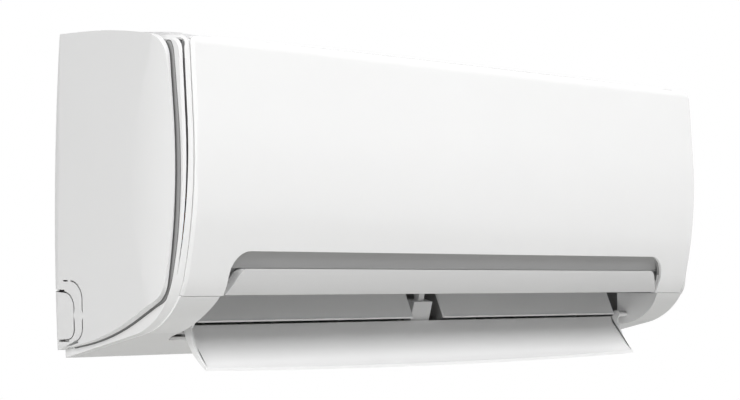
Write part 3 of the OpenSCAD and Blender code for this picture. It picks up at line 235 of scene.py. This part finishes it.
def drawn_metal(name, hex_code, second_hex, roughness, stretch, line_mm):
    """Rolled, drawn or turned metal: fine lines along the working direction and a drift of tone."""
    made, tree, shader = new_material(name, hex_code, roughness, metallic=1.0)
    place = object_place(tree, scale=stretch)
    lines = add_node(tree, "ShaderNodeTexNoise", Vector=place, Scale=1 / (line_mm * MM), Detail=3.0)
    tone = add_node(tree, "ShaderNodeMix", {"data_type": "RGBA"}, Factor=lines.outputs["Fac"],
                    i6=colour(hex_code), i7=colour(second_hex))
    tree.links.new(tone.outputs[2], shader.inputs["Base Color"])
    spread = add_node(tree, "ShaderNodeMapRange", Value=lines.outputs["Fac"], i3=roughness - METAL_SPREAD,
                      i4=roughness + METAL_SPREAD)
    tree.links.new(spread.outputs[0], shader.inputs["Roughness"])
    bump = add_node(tree, "ShaderNodeBump", Height=lines.outputs["Fac"], Strength=0.4, Distance=LINE_HIGH)
    tree.links.new(bump.outputs[0], shader.inputs["Normal"])
    return made


# the stretch is the least along the working direction
FINISHES["fin_aluminium"] = drawn_metal("bare aluminium foil, fins", "C9CDD1", "B9BDC2", 0.35, (1, 1, 0.05), 0.8)
FINISHES["plated_steel"] = drawn_metal("zinc-plated sheet steel", "B9BCBF", "A9ADB1", 0.38, (0.08, 1, 1), 1.0)
FINISHES["copper"] = drawn_metal("drawn copper tube", "C77A52", "B56A45", 0.3, (0.1, 1, 1), 1.0)
FINISHES["brass_nut"] = drawn_metal("turned brass", "C9A35A", "B8924C", 0.28, (1, 0.2, 0.2), 0.8)
FINISHES["motor_steel"] = drawn_metal("plated motor shell", "8F9296", "83868A", 0.35, (1, 0.2, 0.2), 1.0)
FINISHES["bright_steel"] = drawn_metal("ground steel", "C2C4C6", "B2B4B6", 0.25, (0.1, 1, 1), 0.8)

# darker grey painted on the casing's recess above the bar: painted shade, standing in for the shade in the notch
RECESS_PAINTED_SHADE = moulded("painted shade, recess above the bar", "B0B0B0", "AAAAAA", 0.42, 0.04, 1.2, 0.01)

record = frame["record"]
slot_of = {part["node"]: part["material_slot"] for part in record["subparts"]}
body_of = {node: body for body, nodes in record["behaviour"]["bodies"].items() for node in nodes}
for node_name, node in frame["nodes"].items():
    finish = FINISHES[slot_of[node_name]]
    if not node.material_slots:
        node.data.materials.append(finish)
    for holder in node.material_slots:
        holder.material = finish


# Tools for the pieces

def choose(piece):
    bpy.ops.object.select_all(action="DESELECT")
    piece.select_set(True)
    bpy.context.view_layer.objects.active = piece


def apply_modifier(piece, kind, **settings):
    made = piece.modifiers.new(kind.lower(), kind)
    for key, value in settings.items():
        setattr(made, key, value)
    choose(piece)
    bpy.ops.object.modifier_apply(modifier=made.name)


def array(piece, count, step):
    apply_modifier(piece, "ARRAY", count=count, use_relative_offset=False, use_constant_offset=True,
                   constant_offset_displace=step)


def finished(piece, node_name, *more_nodes):
    """Puts the piece on its node's body, in its node's place and finish."""
    if not piece.data.materials:
        piece.data.materials.append(FINISHES[slot_of[node_name]])
    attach(piece, body_of[node_name])
    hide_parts(node_name, *more_nodes)
    return piece


# Mouldings: the solids' own surfaces, merged, with their edges broken as a mould leaves them. The intake grille keeps
# its solid, because its slots don't stand merging.

MERGE = 0.004 * MM
FLAT_DEG = 0.05
BEVEL_DEG = 32
SMOOTH_DEG = 30


def moulding(node_name, edge_mm):
    source = frame["nodes"][node_name]
    piece = bpy.data.objects.new(node_name + "_moulding", source.data.copy())
    bpy.context.scene.collection.objects.link(piece)
    choose(piece)
    bpy.ops.mesh.customdata_custom_splitnormals_clear()
    bpy.ops.object.mode_set(mode="EDIT")
    bpy.ops.mesh.select_all(action="SELECT")
    bpy.ops.mesh.remove_doubles(threshold=MERGE)
    bpy.ops.mesh.dissolve_limited(angle_limit=math.radians(FLAT_DEG))
    bpy.ops.object.mode_set(mode="OBJECT")
    apply_modifier(piece, "BEVEL", width=edge_mm * MM, segments=2, limit_method="ANGLE",
                   angle_limit=math.radians(BEVEL_DEG), use_clamp_overlap=True, miter_outer="MITER_ARC")
    choose(piece)
    bpy.ops.object.shade_smooth_by_angle(angle=math.radians(SMOOTH_DEG))
    apply_modifier(piece, "WEIGHTED_NORMAL", keep_sharp=True, weight=60)
    return finished(piece, node_name)


EDGE_MM = {"front_panel": 0.5, "front_casing": 0.35, "left_side_cover": 0.45, "right_side_cover": 0.45,
           "flap": 0.4, "display_bar": 0.5, "louver_left": 0.3, "louver_right": 0.3, "drain_pan": 0.4,
           "centre_bracket": 0.4}
mouldings = {name: moulding(name, edge) for name, edge in EDGE_MM.items()}

# the faces of the recess over the bar get the darker grey of painted shade
casing = mouldings["front_casing"]
casing.data.materials.append(RECESS_PAINTED_SHADE)
bar_low, bar_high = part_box("display_bar")
RECESS_RISE = 20 * MM
RECESS_DEEP = 14 * MM
RECESS_SPARE = 4 * MM
RECESS_AHEAD = 2 * MM
REAR_FACING = 0.2
for face in casing.data.polygons:
    place = face.center
    if (abs(place.x) < bar_high.x + RECESS_SPARE
            and bar_high.z - RECESS_SPARE < place.z < bar_high.z + RECESS_RISE
            and bar_low.y - RECESS_AHEAD < place.y < bar_low.y + RECESS_DEEP and face.normal.y < REAR_FACING):
        face.material_index = 1


# Ends: painted shade on the floor of the groove beside each side cover, with a darker painted shadow line along its
# outer edge, and the casing's ledge that closes the panel's gap from behind

GROOVE_PAINTED_SHADE = moulded("painted shade, groove floor", "A3A3A3", "9D9D9D", 0.5, 0.04, 1.2, 0.01)
GROOVE_PAINTED_SHADOW_LINE = moulded("painted shadow line, groove corner", "767676", "717171", 0.5, 0.04, 1.2, 0.01)
END_MIDDLE = Vector((0, -79 * MM, 0))
END_FACE = 388.5 * MM
COVER_RIM = 390.9 * MM
FLANGE_ROOT = 381 * MM
STRIP_T = 0.25 * MM
STRIP_EDGE = 0.06 * MM
STRIP_EDGE_DEG = 60
UNDER_COVER = 5 * MM
GROOVE_SHOWN = 4.7 * MM
GROOVE_SHOWN_LOW = 1.3 * MM
GROOVE_SHADOW_LINE = 0.9 * MM
FLANGE_EDGE = 0.6 * MM
LEDGE_SUNK = 0.12 * MM
LEDGE_DEEP = 3 * MM
LEDGE_WIDE = 0.48 * MM
LEDGE_ROOT = 0.06 * MM
# angles above the way to the room, in degrees: where the groove runs from and to, where it turns narrow at the
# lower corner, and where the ledge runs
GROOVE_DEG = (58, -108)
NARROW_DEG = (-40, -56)
LEDGE_DEG = (56, -45)
PLANE_SPARE = 0.03 * MM


def outline_edges(node_name, x):
    """The node's edges in the plane at x, as pairs of places in the side view about END_MIDDLE."""
    mesh = frame["nodes"][node_name].data
    flat = {v.index: (END_MIDDLE.y - v.co.y, v.co.z - END_MIDDLE.z)
            for v in mesh.vertices if abs(v.co.x - x) < PLANE_SPARE}
    return [(flat[a], flat[b]) for a, b in (edge.vertices for edge in mesh.edges) if a in flat and b in flat]


def reach(edges, angle):
    """How far the edges reach from END_MIDDLE along an angle above the way to the room."""
    ahead, above = math.cos(angle), math.sin(angle)
    best = 0.0
    for (a0, a1), (b0, b1) in edges:
        off_a, off_b = a0 * above - a1 * ahead, b0 * above - b1 * ahead
        if off_a != off_b and off_a * off_b <= 0:
            share = off_a / (off_a - off_b)
            best = max(best, (a0 + share * (b0 - a0)) * ahead + (a1 + share * (b1 - a1)) * above)
    return best


def side_strip(name, rows, x, thick, finish):
    """A strip on an end face through rows of (angle, inner reach, outer reach), from x on by thick."""
    bpy.ops.object.select_all(action="DESELECT")
    bpy.ops.mesh.primitive_grid_add(x_subdivisions=len(rows) - 1, y_subdivisions=1, size=2)
    piece = bpy.context.object
    piece.name = name
    for point in piece.data.vertices:
        angle, inner, outer = rows[round((point.co.x + 1) / 2 * (len(rows) - 1))]
        far = outer if point.co.y > 0 else inner
        point.co = (x, END_MIDDLE.y - far * math.cos(angle), END_MIDDLE.z + far * math.sin(angle))
    bpy.ops.object.mode_set(mode="EDIT")
    bpy.ops.mesh.select_all(action="SELECT")
    bpy.ops.mesh.extrude_region_move(TRANSFORM_OT_translate={"value": (thick, 0, 0)})
    bpy.ops.mesh.select_all(action="SELECT")
    bpy.ops.mesh.normals_make_consistent(inside=False)
    bpy.ops.object.mode_set(mode="OBJECT")
    apply_modifier(piece, "BEVEL", width=STRIP_EDGE, segments=1, limit_method="ANGLE",
                   angle_limit=math.radians(STRIP_EDGE_DEG))
    piece.data.materials.append(finish)
    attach(piece, body_of["front_casing"])
    return piece


for side, end in ((-1, "left"), (1, "right")):
    cover_edges = outline_edges(end + "_side_cover", side * COVER_RIM)
    face_edges = outline_edges("front_casing", side * END_FACE)
    root_edges = outline_edges("front_casing", side * FLANGE_ROOT)
    floor_rows, shadow_line_rows = [], []
    for degrees in range(GROOVE_DEG[0], GROOVE_DEG[1] - 1, -1):
        angle = math.radians(degrees)
        low_share = min(max((NARROW_DEG[0] - degrees) / (NARROW_DEG[0] - NARROW_DEG[1]), 0), 1)
        cover_far = reach(cover_edges, angle)
        shown = GROOVE_SHOWN + (GROOVE_SHOWN_LOW - GROOVE_SHOWN) * low_share
        outer = min(cover_far + shown, reach(face_edges, angle) - FLANGE_EDGE)
        floor_rows.append((angle, cover_far - UNDER_COVER, outer - GROOVE_SHADOW_LINE))
        shadow_line_rows.append((angle, outer - GROOVE_SHADOW_LINE, outer))
    # grey strips standing in for the groove's shade: painted shade on its floor, a painted shadow line at its outer
    # edge
    side_strip("groove_floor_" + end, floor_rows, side * END_FACE, side * STRIP_T, GROOVE_PAINTED_SHADE)
    side_strip("groove_shadow_line_" + end, shadow_line_rows, side * END_FACE, side * STRIP_T, GROOVE_PAINTED_SHADOW_LINE)
    ledge_rows = []
    for degrees in range(LEDGE_DEG[0], LEDGE_DEG[1] - 1, -1):
        angle = math.radians(degrees)
        root_far = reach(root_edges, angle)
        ledge_rows.append((angle, root_far - LEDGE_DEEP, root_far - LEDGE_SUNK))
    side_strip("casing_ledge_" + end, ledge_rows, side * (FLANGE_ROOT - LEDGE_WIDE), side * (LEDGE_WIDE + LEDGE_ROOT),
               FINISHES["casing_white"])


# Coil: foil fins with waved edges, one modelled and the rest copied

COIL_LEAN = 40
COIL_DEEP = 25 * MM
FIN_PITCH = 1.8 * MM
FIN_FOIL = 0.12 * MM
FIN_WAVE = 0.5 * MM
FIN_STEPS = 13


def fin_stack(node_name, lean):
    low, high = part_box(node_name)
    middle = (low + high) / 2
    tall = (high.z - low.z - COIL_DEEP * abs(math.sin(math.radians(lean)))) / math.cos(math.radians(lean))
    bpy.ops.object.select_all(action="DESELECT")
    bpy.ops.mesh.primitive_cube_add(size=1, location=(0, 0, 0))
    piece = bpy.context.object
    piece.name = node_name + "_fins"
    piece.scale = (FIN_FOIL, COIL_DEEP, tall)
    bpy.ops.object.transform_apply(location=False, rotation=False, scale=True)
    bpy.ops.object.mode_set(mode="EDIT")
    for step in range(1, FIN_STEPS):
        bpy.ops.mesh.select_all(action="SELECT")
        bpy.ops.mesh.bisect(plane_co=(0, 0, tall * (step / FIN_STEPS - 0.5)), plane_no=(0, 0, 1))
    bpy.ops.object.mode_set(mode="OBJECT")
    for point in piece.data.vertices:
        step = round((point.co.z / tall + 0.5) * FIN_STEPS)
        if 0 < step < FIN_STEPS and step % 2:
            point.co.y -= math.copysign(FIN_WAVE, point.co.y)
    copies = int((high.x - low.x - FIN_FOIL) / FIN_PITCH) + 1
    array(piece, copies, (FIN_PITCH, 0, 0))
    spare = high.x - low.x - (copies - 1) * FIN_PITCH
    piece.rotation_euler = (math.radians(lean), 0, 0)
    piece.location = (low.x + spare / 2, middle.y, middle.z)
    choose(piece)
    bpy.ops.object.transform_apply(location=True, rotation=True, scale=True)
    return finished(piece, node_name)


fin_stack("coil_front_lower", 0)
fin_stack("coil_front_upper", -COIL_LEAN)
fin_stack("coil_rear", COIL_LEAN)


# Filters: a moulded frame with its mesh of strands; 1.2 mm on the real one, drawn at 3 mm so that it shows

FILTER_T = 2.4 * MM
FILTER_LONG = 183.25 * MM
FILTER_BORDER = 9 * MM
FILTER_RIB = 2.2 * MM
FILTER_COLUMNS = 9
FILTER_ROWS = 4
FILTER_TAB = (0.38, 0.62)
TAB_T = 2.5 * MM
FILTER_EDGE = 0.35 * MM
RIB_FROM = 0.1 * FILTER_T
STRAND = 0.35 * MM
STRAND_FROM = 0.35 * FILTER_T
STRAND_PITCH = 3.0 * MM


def bar(low, high, edge=0.0):
    """A bar between two corners, its long edges rounded by edge."""
    bpy.ops.object.select_all(action="DESELECT")
    bpy.ops.mesh.primitive_cube_add(size=1, location=[(a + b) / 2 for a, b in zip(low, high)])
    made = bpy.context.object
    made.scale = [b - a for a, b in zip(low, high)]
    bpy.ops.object.transform_apply(location=True, rotation=True, scale=True)
    if edge:
        apply_modifier(made, "BEVEL", width=edge, segments=2, limit_method="ANGLE")
    return made


def joined(pieces, name):
    bpy.ops.object.select_all(action="DESELECT")
    for piece in pieces:
        piece.select_set(True)
    bpy.context.view_layer.objects.active = pieces[0]
    bpy.ops.object.join()
    pieces[0].name = name
    return pieces[0]


def filter_piece(node_name):
    low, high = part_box(node_name)
    slide = next(joint for joint in frame["joints"] if joint["name"] == node_name + "_slide")
    axis = Vector(slide["axis"])
    lean = math.atan2(axis.y, axis.z)
    wide = high.x - low.x
    edge = FILTER_EDGE
    bars = []
    column = (wide - 2 * FILTER_BORDER + FILTER_RIB) / FILTER_COLUMNS
    row = (FILTER_LONG - 2 * FILTER_BORDER + FILTER_RIB) / FILTER_ROWS
    for x0 in (0, wide - FILTER_BORDER):
        bars.append(bar((x0, 0, 0), (x0 + FILTER_BORDER, FILTER_T, FILTER_LONG), edge))
    for z0 in (0, FILTER_LONG - FILTER_BORDER):
        bars.append(bar((FILTER_BORDER - edge, 0, z0),
                        (wide - FILTER_BORDER + edge, FILTER_T, z0 + FILTER_BORDER), edge))
    for i in range(1, FILTER_COLUMNS):
        x0 = FILTER_BORDER + i * column - FILTER_RIB
        bars.append(bar((x0, RIB_FROM, FILTER_BORDER - edge),
                        (x0 + FILTER_RIB, FILTER_T, FILTER_LONG - FILTER_BORDER + edge), edge))
    for j in range(1, FILTER_ROWS):
        z0 = FILTER_BORDER + j * row - FILTER_RIB
        bars.append(bar((FILTER_BORDER - edge, RIB_FROM, z0),
                        (wide - FILTER_BORDER + edge, FILTER_T, z0 + FILTER_RIB), edge))
    bars.append(bar((wide * FILTER_TAB[0], -FILTER_BORDER / 2, FILTER_LONG - TAB_T),
                    (wide * FILTER_TAB[1], edge, FILTER_LONG), edge))
    upright = bar((FILTER_BORDER, STRAND_FROM, FILTER_BORDER - edge),
                  (FILTER_BORDER + STRAND, STRAND_FROM + STRAND, FILTER_LONG - FILTER_BORDER + edge))
    array(upright, int((wide - 2 * FILTER_BORDER) / STRAND_PITCH), (STRAND_PITCH, 0, 0))
    across = bar((FILTER_BORDER - edge, STRAND_FROM + STRAND, FILTER_BORDER),
                 (wide - FILTER_BORDER + edge, STRAND_FROM + 2 * STRAND, FILTER_BORDER + STRAND))
    array(across, int((FILTER_LONG - 2 * FILTER_BORDER) / STRAND_PITCH), (0, 0, STRAND_PITCH))
    piece = joined(bars + [upright, across], node_name + "_frame")
    bpy.ops.object.transform_apply(location=True, rotation=True, scale=True)
    piece.rotation_euler = (-lean, 0, 0)
    piece.location = (low.x, low.y, low.z + FILTER_T * math.sin(lean))
    bpy.ops.object.transform_apply(location=True, rotation=True, scale=True)
    return finished(piece, node_name)


filter_piece("filter_left")
filter_piece("filter_right")
